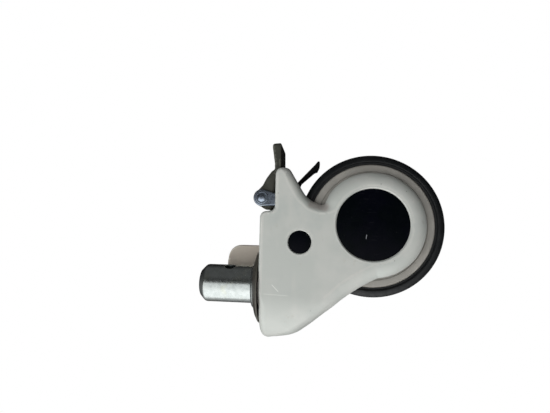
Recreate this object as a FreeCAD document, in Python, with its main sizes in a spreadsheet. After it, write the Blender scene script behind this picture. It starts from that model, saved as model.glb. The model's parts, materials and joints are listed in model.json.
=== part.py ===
import FreeCAD, Part
import Sketcher
import math
import os
import re

# A stem-mounted trailing caster with one pedal that locks the wheel and the swivel together.
# Frame: millimetres, +Z up the stem, origin at the centre of the stem flange's top face.
# +X is the trailing side, where the axle and the pedal are. The wheel spins about Y.

os.makedirs("parts", exist_ok=True)
doc = FreeCAD.newDocument("caster")
sheet = doc.addObject("Spreadsheet::Sheet", "dim")

DIMENSIONS = {
    # stem and flange; the stem's own features are turned about Z by stem_turn
    "stem_radius": 14.0,
    "stem_length": 39.9,
    "stem_chamfer": 4.2,
    "cross_hole_radius": 4.1,
    "cross_hole_height": 17.7,
    "stem_turn": -17.0,
    "flange_top_radius": 16.8,
    "flange_radius": 18.8,
    "flange_height": 1.8,
    "hub_radius": 13.0,
    "journal_radius": 10.0,
    "thread_radius": 8.0,
    "stem_bottom": -41.0,
    # locating tab and dust cover
    "tab_distance": 21.0,
    "tab_plate": 3.0,
    "tab_half_width": 23.4,
    "tab_top": 25.4,
    "cover_radius": 27.9,
    "cover_wall": 1.5,
    # swivel stack, from the housing's top downwards
    "housing_top": -7.0,
    "bearing_top": -9.0,
    "bearing_middle": -16.5,
    "bearing_bottom": -24.0,
    "bearing_outer_radius": 16.0,
    "lip_radius": 14.5,
    "lip_bottom": -26.0,
    "lock_top": -26.5,
    "lock_bottom": -31.0,
    "lock_radius": 21.0,
    "notch_depth": 2.8,
    "notch_width": 2.9,
    "washer_bottom": -32.5,
    "nut_bottom": -39.5,
    "nut_flats": 24.0,
    # wheel
    "wheel_x": 45.6,
    "wheel_z": -85.1,
    "tyre_radius": 50.6,
    "rim_radius": 43.7,
    "tyre_half_width": 15.0,
    "tyre_round": 4.0,
    "rim_half_width": 14.2,
    "rim_lip_radius": 35.5,
    "rim_web_radius": 34.0,
    "rim_hub_radius": 19.0,
    "rim_hub_half": 12.8,
    "rim_channel_half": 6.5,
    "axle_radius": 6.0,
    "axle_clamp": 18.7,
    "axle_end": 23.2,
    "axle_flats": 18.0,
    "axle_washer_radius": 12.0,
    "sleeve_radius": 8.2,
    "race_outer_radius": 14.0,
    "race_near": 5.0,
    "race_far": 13.0,
    # housing
    "cheek_in": 18.5,
    "half_width": 25.5,
    "boss_radius": 36.5,
    "wheel_gap": 2.6,
    "big_cap_radius": 24.7,
    "cap_plate": 2.0,
    "cap_proud": 0.2,
    "pocket_radius": 20.0,
    "pocket_floor": 17.2,
    "hub_tube_radius": 22.0,
    "nub_radius": 8.5,
    "small_cap_radius": 8.0,
    "small_cap_plate": 1.6,
    "screw_pocket_radius": 6.0,
    "screw_pocket_depth": 5.5,
    "screw_radius": 2.5,
    "screw_head_radius": 4.5,
    "small_cap_x": 32.5,
    "small_cap_z": -35.4,
    # pedal, bracket and brake lever
    "pedal_x": 64.0,
    "pedal_z": -7.0,
    "pivot_radius": 3.0,
    "ear_radius": 6.2,
    "bracket_in": 16.3,
    "bracket_out": 18.3,
    "lever_x": 44.0,
    "lever_z": -26.0,
    "lever_pin_radius": 2.5,
}
NOTCH_COUNT = 24
SWIVEL_BALLS = 10
WHEEL_BALLS = 9

for row, (alias, value) in enumerate(DIMENSIONS.items(), start=1):
    sheet.set("A%d" % row, alias)
    sheet.set("B%d" % row, str(value))
    sheet.setAlias("B%d" % row, alias)
doc.recompute()

NODES = []
ORIGIN = FreeCAD.Vector(0, 0, 0)
UP = FreeCAD.Vector(0, 0, 1)
ACROSS = FreeCAD.Vector(0, 1, 0)


def bound(expression):
    """The expression with each alias written as a cell of the sheet."""
    return re.sub(r"[a-z_]+", lambda word: "dim." + word[0] if word[0] in DIMENSIONS else word[0], str(expression))


def size(expression):
    """The present value of an expression in the sheet's aliases."""
    return float(sheet.evalExpression(bound(expression)))


def node(item, name):
    """Name a finished sub-part; its label is also its file's name."""
    item.Label = name
    NODES.append(item)
    return item


def place(item, x="0", y="0", z="0", rotation=None):
    """Put an object at a point given by expressions, turned by a fixed rotation."""
    item.Placement = FreeCAD.Placement(FreeCAD.Vector(size(x), size(y), size(z)), rotation or FreeCAD.Rotation())
    for axis, expression in (("x", x), ("y", y), ("z", z)):
        item.setExpression("Placement.Base." + axis, bound(expression))
    return item


# Turns a body's own Z axis onto the wheel's Y axis.
SIDEWAYS = FreeCAD.Rotation(FreeCAD.Vector(1, 0, 0), -90)


def new_sketch(body, name, role):
    """An empty sketch on one of the body's own origin planes."""
    sketch = body.newObject("Sketcher::SketchObject", name)
    plane = [feature for feature in body.Origin.OriginFeatures if feature.Role == role][0]
    sketch.AttachmentSupport = (plane, "")
    sketch.MapMode = "FlatFace"
    return sketch


def turned(name, profile):
    """A body of revolution about its own Z; the profile is (radius, height) expressions, fully dimensioned."""
    body = doc.addObject("PartDesign::Body", name + "_body")
    sketch = new_sketch(body, name + "_profile", "XZ_Plane")
    points = [FreeCAD.Vector(size(radius), size(height), 0) for radius, height in profile]
    count = len(points)
    for index in range(count):
        sketch.addGeometry(Part.LineSegment(points[index], points[(index + 1) % count]), False)
    for index in range(count):
        sketch.addConstraint(Sketcher.Constraint("Coincident", index, 2, (index + 1) % count, 1))
    for index, (radius, height) in enumerate(profile):
        across = sketch.addConstraint(Sketcher.Constraint("DistanceX", -1, 1, index, 1, points[index].x))
        sketch.setExpression("Constraints[%d]" % across, bound(radius))
        along = sketch.addConstraint(Sketcher.Constraint("DistanceY", -1, 1, index, 1, points[index].y))
        sketch.setExpression("Constraints[%d]" % along, bound(height))
    solid = body.newObject("PartDesign::Revolution", name + "_turned")
    solid.Profile = sketch
    solid.ReferenceAxis = (sketch, ["V_Axis"])
    solid.Angle = 360
    sketch.Visibility = False
    body.Tip = solid
    doc.recompute()
    return body


def rounded_rims(body, name, radius, chosen):
    """Round the chosen circular edges of a turned body; chosen takes (radius, height)."""
    base = body.Tip
    names = []
    for index, edge in enumerate(base.Shape.Edges, start=1):
        if isinstance(edge.Curve, Part.Circle) and chosen(edge.Curve.Radius, edge.Curve.Center.z):
            names.append("Edge%d" % index)
    fillet = body.newObject("PartDesign::Fillet", name + "_rounding")
    fillet.Base = (base, names)
    fillet.Radius = size(radius)
    fillet.setExpression("Radius", bound(radius))
    body.Tip = fillet
    doc.recompute()
    return body


def plate(name, outline, half_width):
    """A body from an outline in the XZ plane, padded to both sides of Y = 0.

    The outline is a list of points; a point given as (x, z, "through") is the middle of an arc.
    """
    body = doc.addObject("PartDesign::Body", name + "_body")
    sketch = new_sketch(body, name + "_outline", "XZ_Plane")
    draw_outline(sketch, outline)
    pad = body.newObject("PartDesign::Pad", name + "_pad")
    pad.Profile = sketch
    pad.Midplane = True
    pad.Length = 2 * size(half_width)
    pad.setExpression("Length", "2 * (" + bound(half_width) + ")")
    sketch.Visibility = False
    body.Tip = pad
    doc.recompute()
    return body


def draw_outline(sketch, outline):
    """Close an outline of straight lines and three-point arcs in a sketch."""
    points = [FreeCAD.Vector(point[0], point[1], 0) for point in outline]
    through = [len(point) == 3 for point in outline]
    count = len(points)
    index = 0
    while index < count:
        following = (index + 1) % count
        if through[following]:
            end = (index + 2) % count
            sketch.addGeometry(Part.Arc(points[index], points[following], points[end]), False)
            index += 2
        else:
            sketch.addGeometry(Part.LineSegment(points[index], points[following]), False)
            index += 1


def cylinder(name, radius, length, x="0", y="0", z="0", sideways=True):
    """A plain cylinder whose axis is Y when sideways, otherwise Z, starting at the given point."""
    item = doc.addObject("Part::Cylinder", name)
    item.setExpression("Radius", bound(radius))
    item.setExpression("Height", bound(length))
    return place(item, x, y, z, SIDEWAYS if sideways else None)


def box(name, low, high):
    """A block between two corners given as expressions."""
    item = doc.addObject("Part::Box", name)
    for side, start, end in zip(("Length", "Width", "Height"), low, high):
        item.setExpression(side, bound("(%s) - (%s)" % (end, start)))
    return place(item, *low)


def cut(name, base, *tools):
    """Base less every tool."""
    result = base
    for index, tool in enumerate(tools):
        step = doc.addObject("Part::Cut", "%s_cut_%d" % (name, index))
        step.Base = result
        step.Tool = tool
        result = step
    doc.recompute()
    return result


def fuse(name, *items):
    """Several overlapping solids as one."""
    item = doc.addObject("Part::MultiFuse", name + "_fused")
    item.Shapes = list(items)
    item.Refine = True
    doc.recompute()
    return item


def common(name, *items):
    """What several solids share."""
    item = doc.addObject("Part::MultiCommon", name + "_common")
    item.Shapes = list(items)
    doc.recompute()
    return item


def group(name, *items):
    """Separate solids of one kind kept as one sub-part."""
    item = doc.addObject("Part::Compound", name + "_group")
    item.Links = list(items)
    doc.recompute()
    return node(item, name)


def mirrored(item, name):
    """The same piece on the other cheek, across Y = 0."""
    other = doc.addObject("Part::Mirroring", name + "_mirrored")
    other.Source = item
    other.Normal = ACROSS
    other.Base = ORIGIN
    doc.recompute()
    return other


def pair(name, item):
    """A piece and its mirror image on the other side of the wheel."""
    return group(name, item, mirrored(item, name))


def ball_set(name, count, ball_radius, pitch_radius, heights, to_place):
    """Rings of loose balls about an axis, one ring at each height, as separate solids."""
    balls = []
    for height in heights:
        for index in range(count):
            angle = 2 * math.pi * index / count
            centre = FreeCAD.Vector(pitch_radius * math.cos(angle), pitch_radius * math.sin(angle), height)
            balls.append(Part.makeSphere(ball_radius, centre))
    item = doc.addObject("Part::Feature", name + "_set")
    item.Shape = Part.makeCompound(balls)
    item.Placement = to_place
    return node(item, name)


def cage_set(name, count, ball_radius, pitch_radius, heights, to_place):
    """Ball cages: thin rings with a pocket round each ball."""
    half_height = 1.35 * ball_radius
    half_wall = 0.35 * ball_radius
    pocket = ball_radius + 0.1
    cages = []
    for height in heights:
        base = FreeCAD.Vector(0, 0, height - half_height)
        ring = Part.makeCylinder(pitch_radius + half_wall, 2 * half_height, base)
        ring = ring.cut(Part.makeCylinder(pitch_radius - half_wall, 2 * half_height, base))
        for index in range(count):
            angle = 2 * math.pi * index / count
            direction = FreeCAD.Vector(math.cos(angle), math.sin(angle), 0)
            start = direction * (pitch_radius - 3 * half_wall) + FreeCAD.Vector(0, 0, height)
            ring = ring.cut(Part.makeCylinder(pocket, 6 * half_wall, start, direction))
        cages.append(ring)
    item = doc.addObject("Part::Feature", name + "_set")
    item.Shape = Part.makeCompound(cages)
    item.Placement = to_place
    return node(item, name)


# ---------------------------------------------------------------- stem side

STEM_TURN = FreeCAD.Rotation(UP, size("stem_turn"))
# Turns the round post so that its surface's seam line stays clear of the cross hole.
SEAM_TURN = 35
ON_WHEEL = FreeCAD.Placement(FreeCAD.Vector(size("wheel_x"), 0, size("wheel_z")), SIDEWAYS)


def stem_post():
    """The turned steel stem: plain post, flange, hub, bearing journal and thread, cross-drilled."""
    post = turned("stem_post", [
        ("0", "stem_bottom"),
        ("thread_radius - 1", "stem_bottom"),
        ("thread_radius", "stem_bottom + 1"),
        ("thread_radius", "lock_bottom"),
        ("journal_radius", "lock_bottom"),
        ("journal_radius", "bearing_top"),
        ("hub_radius - 0.6", "bearing_top"),
        ("hub_radius - 0.6", "housing_top"),
        ("hub_radius", "housing_top"),
        ("hub_radius", "-flange_height"),
        ("flange_radius", "-flange_height"),
        ("flange_top_radius + 0.3", "-0.5"),
        ("flange_top_radius", "0"),
        ("stem_radius", "0"),
        ("stem_radius", "stem_length - stem_chamfer"),
        ("stem_radius - stem_chamfer", "stem_length"),
        ("0", "stem_length"),
    ])
    rounded_rims(post, "stem_end", "3", lambda radius, height: height > size("stem_length - stem_chamfer") - 0.1)
    post.Placement = FreeCAD.Placement(ORIGIN, FreeCAD.Rotation(UP, SEAM_TURN))
    drill = cylinder("cross_drill", "cross_hole_radius", "4 * stem_radius", z="cross_hole_height")
    turn = FreeCAD.Rotation(UP, size("stem_turn")).multiply(FreeCAD.Rotation(ACROSS, 90))
    reach = turn.multVec(UP) * -size("2 * stem_radius")
    drill.Placement = FreeCAD.Placement(FreeCAD.Vector(reach.x, reach.y, size("cross_hole_height")), turn)
    drill.setExpression("Placement.Base.x", None)
    drill.setExpression("Placement.Base.y", None)
    node(cut("stem_post", post, drill), "stem_post")


def locating_tab():
    """A bent plate on the stem's hub whose crowned upright stops the stem turning in its socket."""
    foot = size("housing_top") + 0.8
    half = size("tab_half_width")
    top = size("tab_top")
    shoulder = (half - 10.9, top - 1.4)
    cheek = (half - 2.7, top - 5.7)
    side = (half, top - 13.4)
    upright = plate("tab_upright", [
        (half, foot), side, (cheek[0], cheek[1], "arc"), shoulder,
        (0.0, top, "arc"), (-shoulder[0], shoulder[1]),
        (-cheek[0], cheek[1], "arc"), (-side[0], side[1]), (-half, foot),
    ], "tab_plate / 2")
    place(upright, y="tab_distance + tab_plate / 2")
    far = "tab_distance + tab_plate"
    tongue = box("tab_tongue", ("-8", "0", "housing_top + 0.8"), ("8", far, "housing_top + 2"))
    ring = cylinder("tab_ring", "17", "1.2", z="housing_top + 0.8", sideways=False)
    bore = cylinder("tab_bore", "hub_radius", "2", z="housing_top + 0.8", sideways=False)
    whole = cut("tab", fuse("tab", upright, tongue, ring), bore)
    whole.Placement = FreeCAD.Placement(ORIGIN, STEM_TURN)
    node(whole, "locating_tab")


def dust_cover():
    """The conical skirt under the flange, flattened where the tab's upright passes."""
    skirt = turned("dust_cover", [
        ("hub_radius", "-flange_height"),
        ("hub_radius", "-flange_height - cover_wall"),
        ("flange_radius - 0.6", "-flange_height - cover_wall"),
        ("cover_radius - 4.5", "housing_top + 2.3"),
        ("cover_radius - cover_wall", "housing_top + 1.1"),
        ("cover_radius - cover_wall", "housing_top + 0.6"),
        ("cover_radius", "housing_top + 0.6"),
        ("cover_radius", "housing_top + 1.6"),
        ("cover_radius - 3.9", "housing_top + 3.8"),
        ("flange_radius + 0.6", "-flange_height"),
    ])
    room = box("cover_flat", ("-40", "tab_distance - 0.3", "housing_top - 1"), ("40", "40", "0"))
    whole = cut("dust_cover", skirt, room)
    whole.Placement = FreeCAD.Placement(ORIGIN, STEM_TURN)
    node(whole, "dust_cover")


GROOVE = 2.1
BALL = 2.0


def race(name, bore, outside, low, high, pitch_radius, inner):
    """One bearing ring with a ball groove on its working side."""
    land = "%s + 1.9" % bore if inner else "%s - 1.9" % outside
    if inner:
        profile = [(bore, low), (land, low), (land, high), (bore, high)]
    else:
        profile = [(land, low), (outside, low), (outside, high), (land, high)]
    ring = turned(name, profile)
    groove = doc.addObject("Part::Torus", name + "_groove")
    groove.Radius1 = pitch_radius
    groove.Radius2 = GROOVE
    place(groove, z="((%s) + (%s)) / 2" % (low, high))
    return cut(name, ring, groove)


def swivel_bearings():
    """Two deep-groove bearings, one above the other, that carry the stem in the housing."""
    pitch_radius = (size("journal_radius") + size("bearing_outer_radius")) / 2
    levels = [("bearing_middle", "bearing_top"), ("bearing_bottom", "bearing_middle")]
    for which, inner in (("inner", True), ("outer", False)):
        rings = [race("swivel_%s_%d" % (which, index), "journal_radius", "bearing_outer_radius", low, high,
                      pitch_radius, inner) for index, (low, high) in enumerate(levels)]
        group("swivel_bearing_%s_rings" % which, *rings)
    heights = [size("(%s + %s) / 2" % pair_of) for pair_of in levels]
    flat = FreeCAD.Placement()
    ball_set("swivel_bearing_balls", SWIVEL_BALLS, BALL, pitch_radius, heights, flat)
    cage_set("swivel_bearing_cages", SWIVEL_BALLS, BALL, pitch_radius, heights, flat)


def swivel_lock_ring():
    """A toothed ring pressed on the stem; the brake lever's tooth enters a notch in its underside."""
    ring = turned("lock_ring", [
        ("journal_radius", "lock_bottom"),
        ("lock_radius", "lock_bottom"),
        ("lock_radius", "lock_top"),
        ("journal_radius + 2", "lock_top"),
        ("journal_radius + 2", "bearing_bottom"),
        ("journal_radius", "bearing_bottom"),
    ])
    notches = []
    depth = size("notch_depth")
    for index in range(NOTCH_COUNT):
        notch = Part.makeBox(6, size("notch_width"), depth + 1,
                             FreeCAD.Vector(size("lock_radius") - 5, -size("notch_width / 2"), size("lock_bottom") - 1))
        notch.rotate(ORIGIN, UP, index * 360 / NOTCH_COUNT)
        notches.append(notch)
    cutter = doc.addObject("Part::Feature", "lock_notches")
    cutter.Shape = Part.makeCompound(notches)
    node(cut("lock_ring", ring, cutter), "swivel_lock_ring")


def hexagon(name, flats, bottom, top):
    """An upright hexagonal prism."""
    item = doc.addObject("Part::Prism", name)
    item.Polygon = 6
    item.setExpression("Circumradius", bound("(%s) / 2 / cos(30)" % flats))
    item.setExpression("Height", bound("(%s) - (%s)" % (top, bottom)))
    return place(item, z=bottom)


def swivel_nut():
    """The washer and the hexagonal nut that hold the swivel stack together."""
    washer = turned("swivel_washer", [
        ("thread_radius", "washer_bottom"),
        ("hub_radius", "washer_bottom"),
        ("hub_radius", "lock_bottom"),
        ("thread_radius", "lock_bottom"),
    ])
    node(washer, "swivel_washer")
    blank = hexagon("nut_blank", "nut_flats", "nut_bottom", "washer_bottom")
    bore = cylinder("nut_bore", "thread_radius", "20", z="nut_bottom - 5", sideways=False)
    node(cut("swivel_nut", blank, bore), "swivel_nut")


# ---------------------------------------------------------------- housing

WALL = 3.5
# The plan's half ellipse starts this far ahead of the stem's axis, and reaches this much further.
NOSE_START = -5.0
NOSE = 32.8
# How far a cutting tool reaches past the face it opens.
BEYOND = "10"


def wheel_circle(angle, radius):
    """A point on a circle about the axle, by its angle from +X towards +Z."""
    turn = math.radians(angle)
    return size("wheel_x") + radius * math.cos(turn), size("wheel_z") + radius * math.sin(turn)


def side_outline():
    """The fork's side silhouette: roof, step, horn, notch, axle boss, flank and front."""
    top = size("housing_top")
    boss = size("boss_radius")
    notch_end = wheel_circle(65.5, boss)
    boss_low = wheel_circle(-55, boss)
    flank_end = wheel_circle(186, boss)
    return [
        (-37.8, top),
        (49.0, top), (52.4, top - 1.3, "arc"), (53.6, top - 4.2),
        (54.1, top - 7.0), (55.2, top - 9.4, "arc"), (58.2, top - 10.4),
        (79.0, top - 10.4), (83.6, top - 11.7, "arc"), (85.1, top - 15.3),
        (84.3, top - 19.2, "arc"), (81.2, top - 22.2),
        (66.0, top - 31.2), (60.6, top - 36.2, "arc"), (59.3, top - 42.0),
        notch_end, (boss_low[0], boss_low[1], "arc"), flank_end,
        (-6.8, top - 56.8),
        (-30.9, top - 29.6), (-36.0, top - 22.6, "arc"), (-37.8, top - 13.5),
    ]


def plan_solid(name, half_width, nose, bottom, top):
    """A tall solid with the housing's plan: straight sides behind, half an ellipse in front."""
    left = FreeCAD.Vector(NOSE_START, half_width, bottom)
    right = FreeCAD.Vector(NOSE_START, -half_width, bottom)
    ellipse = Part.Ellipse(FreeCAD.Vector(NOSE_START, 0, bottom), nose, half_width)
    front = ellipse.toShape(math.pi / 2, 3 * math.pi / 2)
    back_right = FreeCAD.Vector(120, -half_width, bottom)
    back_left = FreeCAD.Vector(120, half_width, bottom)
    edges = [front, Part.makeLine(right, back_right), Part.makeLine(back_right, back_left),
             Part.makeLine(back_left, left)]
    item = doc.addObject("Part::Feature", name)
    item.Shape = Part.Face(Part.Wire(edges)).extrude(FreeCAD.Vector(0, 0, top - bottom))
    return item


def inner_outline():
    """The room between the cheeks: under the roof, behind the front wall, round the wheel."""
    top = size("housing_top")
    under = top - WALL
    return [
        (-33.6, under),
        (51.5, under),
        (51.5, top + 10),
        (110, top + 10),
        (110, -140),
        (-4, -140),
        (-4, top - 54),
        (-27.5, top - 28),
        (-33.6, top - 15),
    ]


def housing():
    """The moulded fork: roof and swivel hub, front wall, two cheeks with axle bosses."""
    side = plate("housing_side", side_outline(), "half_width")
    outside = common("housing_outside", side, plan_solid("housing_plan", size("half_width"), NOSE, -140, 10))
    room = plate("housing_room", inner_outline(), "cheek_in")
    room_plan = plan_solid("room_plan", size("half_width") - WALL, NOSE - WALL, -141, 11)
    well = cylinder("wheel_well", "tyre_radius + wheel_gap", "2 * cheek_in", "wheel_x", "-cheek_in", "wheel_z")
    hub = cylinder("swivel_hub", "lock_radius", "housing_top - lip_bottom", z="lip_bottom", sideways=False)
    hollow = cut("housing_room", common("housing_room", room, room_plan), hub)
    shell = cut("housing_shell", outside, hollow, well)
    bosses = [cylinder("axle_boss_%d" % side, "hub_tube_radius", "cheek_in - race_far - 0.4", "wheel_x", start,
                       "wheel_z")
              for side, start in ((0, "race_far + 0.4"), (1, "-cheek_in"))]
    nubs = [cylinder("axle_nub_%d" % side, "nub_radius", "5", "wheel_x", start, "wheel_z")
            for side, start in ((0, "race_far"), (1, "-race_far - 5"))]
    solid = fuse("housing_solid", shell, *bosses, *nubs)
    cuts = [
        cylinder("bearing_seat", "bearing_outer_radius", "40", z="bearing_bottom", sideways=False),
        cylinder("bearing_lip", "lip_radius", "20", z="lip_bottom - 5", sideways=False),
        cylinder("lock_room", "lock_radius + 0.8", "lip_bottom - lock_bottom + 1", z="lock_bottom - 1",
                 sideways=False),
        cylinder("axle_hole", "axle_radius", "80", "wheel_x", "-40", "wheel_z"),
    ]
    for side in (-1, 1):
        for name, radius, depth, x, z in (
                ("cap_pocket", "pocket_radius", "half_width - pocket_floor", "wheel_x", "wheel_z"),
                ("cap_shelf", "big_cap_radius + 0.05", "cap_plate", "wheel_x", "wheel_z"),
                ("screw_pocket", "screw_pocket_radius", "screw_pocket_depth", "small_cap_x", "small_cap_z"),
                ("small_shelf", "small_cap_radius + 0.05", "small_cap_plate", "small_cap_x", "small_cap_z")):
            start = "half_width - (%s)" % depth if side > 0 else "-half_width - %s" % BEYOND
            cuts.append(cylinder(name, radius, "%s + %s" % (depth, BEYOND), x, start, z))
    cuts.append(cylinder("screw_hole", "screw_radius", "80", "small_cap_x", "-40", "small_cap_z"))
    node(cut("housing", solid, *cuts), "housing")


def caps():
    """The two axle covers and the two screw covers, each with a plug that grips its pocket."""
    cap = turned("axle_cap", [
        ("0", "half_width - cap_plate"),
        ("pocket_radius - 2.4", "half_width - cap_plate"),
        ("pocket_radius - 2.4", "pocket_floor + 2.3"),
        ("pocket_radius", "pocket_floor + 2.3"),
        ("pocket_radius", "half_width - cap_plate"),
        ("big_cap_radius", "half_width - cap_plate"),
        ("big_cap_radius", "half_width - cap_proud"),
        ("big_cap_radius - 0.6", "half_width + cap_proud"),
        ("0", "half_width + cap_proud"),
    ])
    place(cap, "wheel_x", "0", "wheel_z", SIDEWAYS)
    pair("axle_caps", cap)
    cover = turned("screw_cap", [
        ("0", "half_width - small_cap_plate"),
        ("screw_pocket_radius - 1", "half_width - small_cap_plate"),
        ("screw_pocket_radius - 1", "half_width - small_cap_plate - 1"),
        ("screw_pocket_radius", "half_width - small_cap_plate - 1"),
        ("screw_pocket_radius", "half_width - small_cap_plate"),
        ("small_cap_radius", "half_width - small_cap_plate"),
        ("small_cap_radius", "half_width - 0.1"),
        ("small_cap_radius - 0.4", "half_width + cap_proud"),
        ("0", "half_width + cap_proud"),
    ])
    place(cover, "small_cap_x", "0", "small_cap_z", SIDEWAYS)
    pair("screw_caps", cover)


def bracket_screws():
    """The two short screws, under the small covers, that hold the pedal bracket to the cheeks."""
    screw = turned("bracket_screw", [
        ("0", "bracket_in"),
        ("screw_radius", "bracket_in"),
        ("screw_radius", "half_width - screw_pocket_depth"),
        ("screw_head_radius", "half_width - screw_pocket_depth"),
        ("screw_head_radius", "half_width - 3.4"),
        ("screw_head_radius - 0.9", "half_width - 2.9"),
        ("0", "half_width - 2.9"),
    ])
    socket = hexagon("screw_socket", "3", "half_width - 4.6", "half_width")
    place(screw, "small_cap_x", "0", "small_cap_z", SIDEWAYS)
    place(socket, "small_cap_x", "half_width - 4.6", "small_cap_z", SIDEWAYS)
    pair("bracket_screws", cut("bracket_screw", screw, socket))


# ---------------------------------------------------------------- wheel and axle

def on_axle(body):
    """Carry a turned piece from the document's Z axis to the axle."""
    return place(body, "wheel_x", "0", "wheel_z", SIDEWAYS)


def wheel():
    """The tyre moulded round the rim, and the rim with its web and bearing seats."""
    tyre = turned("tyre", [
        ("rim_radius - 3", "-5"),
        ("rim_radius", "-rim_channel_half"),
        ("rim_radius", "-tyre_half_width"),
        ("tyre_radius", "-tyre_half_width"),
        ("tyre_radius", "tyre_half_width"),
        ("rim_radius", "tyre_half_width"),
        ("rim_radius", "rim_channel_half"),
        ("rim_radius - 3", "5"),
    ])
    rounded_rims(tyre, "tyre", "tyre_round", lambda radius, height: abs(radius - size("tyre_radius")) < 0.01)
    node(on_axle(tyre), "tyre")
    rim = turned("rim", [
        ("race_outer_radius", "-rim_hub_half"),
        ("rim_hub_radius", "-rim_hub_half"),
        ("rim_hub_radius + 0.5", "-4"),
        ("rim_web_radius", "-3"),
        ("rim_lip_radius", "0.8 - rim_half_width"),
        ("rim_radius - 1.2", "-rim_half_width"),
        ("rim_radius", "1.2 - rim_half_width"),
        ("rim_radius", "-rim_channel_half"),
        ("rim_radius - 3", "-5"),
        ("rim_radius - 3", "5"),
        ("rim_radius", "rim_channel_half"),
        ("rim_radius", "rim_half_width - 1.2"),
        ("rim_radius - 1.2", "rim_half_width"),
        ("rim_lip_radius", "rim_half_width - 0.8"),
        ("rim_web_radius", "3"),
        ("rim_hub_radius + 0.5", "4"),
        ("rim_hub_radius", "rim_hub_half"),
        ("race_outer_radius", "rim_hub_half"),
        ("race_outer_radius", "race_near"),
        ("race_outer_radius - 2", "race_near"),
        ("race_outer_radius - 2", "-race_near"),
        ("race_outer_radius", "-race_near"),
    ])
    node(on_axle(rim), "rim")


def wheel_bearings():
    """A deep-groove bearing in each side of the rim, on the axle bolt."""
    pitch_radius = (size("axle_radius") + size("race_outer_radius")) / 2
    levels = [("race_near", "race_far"), ("-race_far", "-race_near")]
    for which, inner in (("inner", True), ("outer", False)):
        rings = []
        for index, (low, high) in enumerate(levels):
            ring = race("wheel_%s_%d" % (which, index), "axle_radius", "race_outer_radius", low, high,
                        pitch_radius, inner)
            ring.Placement = ON_WHEEL
            rings.append(ring)
        group("wheel_bearing_%s_rings" % which, *rings)
    heights = [size("(%s + %s) / 2" % levels_of) for levels_of in levels]
    ball_set("wheel_bearing_balls", WHEEL_BALLS, BALL, pitch_radius, heights, ON_WHEEL)
    cage_set("wheel_bearing_cages", WHEEL_BALLS, BALL, pitch_radius, heights, ON_WHEEL)


def axle():
    """The axle bolt, its nut and washers, and the sleeve that spaces the inner rings."""
    shank = turned("axle_bolt_shank", [
        ("0", "-axle_clamp"),
        ("axle_radius", "-axle_clamp"),
        ("axle_radius", "axle_end - 0.8"),
        ("axle_radius - 0.8", "axle_end"),
        ("0", "axle_end"),
    ])
    head = hexagon("axle_bolt_head", "axle_flats", "-axle_end", "-axle_clamp")
    node(on_axle(fuse("axle_bolt", shank, head)), "axle_bolt")
    blank = hexagon("axle_nut_blank", "axle_flats", "axle_clamp", "axle_end - 0.2")
    bore = cylinder("axle_nut_bore", "axle_radius", "20", z="10", sideways=False)
    nut = cut("axle_nut", blank, bore)
    node(on_axle(nut), "axle_nut")
    washer = on_axle(turned("axle_washer", [
        ("axle_radius", "pocket_floor"),
        ("axle_washer_radius", "pocket_floor"),
        ("axle_washer_radius", "axle_clamp"),
        ("axle_radius", "axle_clamp"),
    ]))
    pair("axle_washers", washer)
    node(on_axle(turned("axle_sleeve", [
        ("axle_radius", "-race_near"),
        ("sleeve_radius", "-race_near"),
        ("sleeve_radius", "race_near"),
        ("axle_radius", "race_near"),
    ])), "axle_sleeve")


# ---------------------------------------------------------------- pedal, bracket and brake lever

def pedal_bracket():
    """The zinc-plated steel bracket: two cheeks joined under the roof, with ears for the pedal pivot."""
    ear = size("ear_radius")
    x, z = size("pedal_x"), size("pedal_z")
    top = size("housing_top")
    outline = [
        (26.5, top - 6.0), (50.0, top - 6.0), (52.0, top - 13.0), (x - ear, top - 13.0),
        (x - ear, z), (x, z + ear, "arc"), (x + ear, z),
        (x + ear, top - 19.0), (60.0, top - 25.0), (44.0, top - 26.0), (38.5, top - 33.5),
        (28.0, top - 33.5), (26.5, top - 29.0),
    ]
    blank = plate("bracket", outline, "bracket_out")
    between = box("bracket_between", ("20", "-bracket_in", "-60"), ("90", "bracket_in", "10"))
    bridge = box("bracket_bridge", ("27", "-bracket_in", "housing_top - 8"), ("48", "bracket_in", "housing_top - 6"))
    holes = [
        cylinder("bracket_screw_hole", "screw_radius", "60", "small_cap_x", "-30", "small_cap_z"),
        cylinder("bracket_pivot_hole", "pivot_radius", "60", "pedal_x", "-30", "pedal_z"),
        cylinder("bracket_lever_hole", "lever_pin_radius", "60", "lever_x", "-30", "lever_z"),
    ]
    sides = cut("bracket_sides", blank, between)
    node(cut("pedal_bracket", fuse("bracket", sides, bridge), *holes), "pedal_bracket")


def pivots():
    """The pedal's rivet with a domed head and a set end, and the brake lever's headless pin."""
    rivet = turned("pedal_rivet", [
        ("0", "-bracket_out"),
        ("pivot_radius", "-bracket_out"),
        ("pivot_radius", "bracket_out"),
        ("4.6", "bracket_out"),
        ("4.4", "bracket_out + 0.9"),
        ("3.0", "bracket_out + 1.5"),
        ("0", "bracket_out + 1.8"),
    ])
    set_end = turned("rivet_set_end", [
        ("0", "-bracket_out - 1.8"),
        ("3.0", "-bracket_out - 1.5"),
        ("4.4", "-bracket_out - 0.9"),
        ("4.6", "-bracket_out"),
        ("0", "-bracket_out"),
    ])
    whole = fuse("pedal_rivet", rivet, set_end)
    node(place(whole, "pedal_x", "0", "pedal_z", SIDEWAYS), "pedal_rivet")
    pin = turned("lever_pin", [
        ("0", "-bracket_out"),
        ("lever_pin_radius", "-bracket_out"),
        ("lever_pin_radius", "bracket_out"),
        ("0", "bracket_out"),
    ])
    node(place(pin, "lever_x", "0", "lever_z", SIDEWAYS), "lever_pin")


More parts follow.
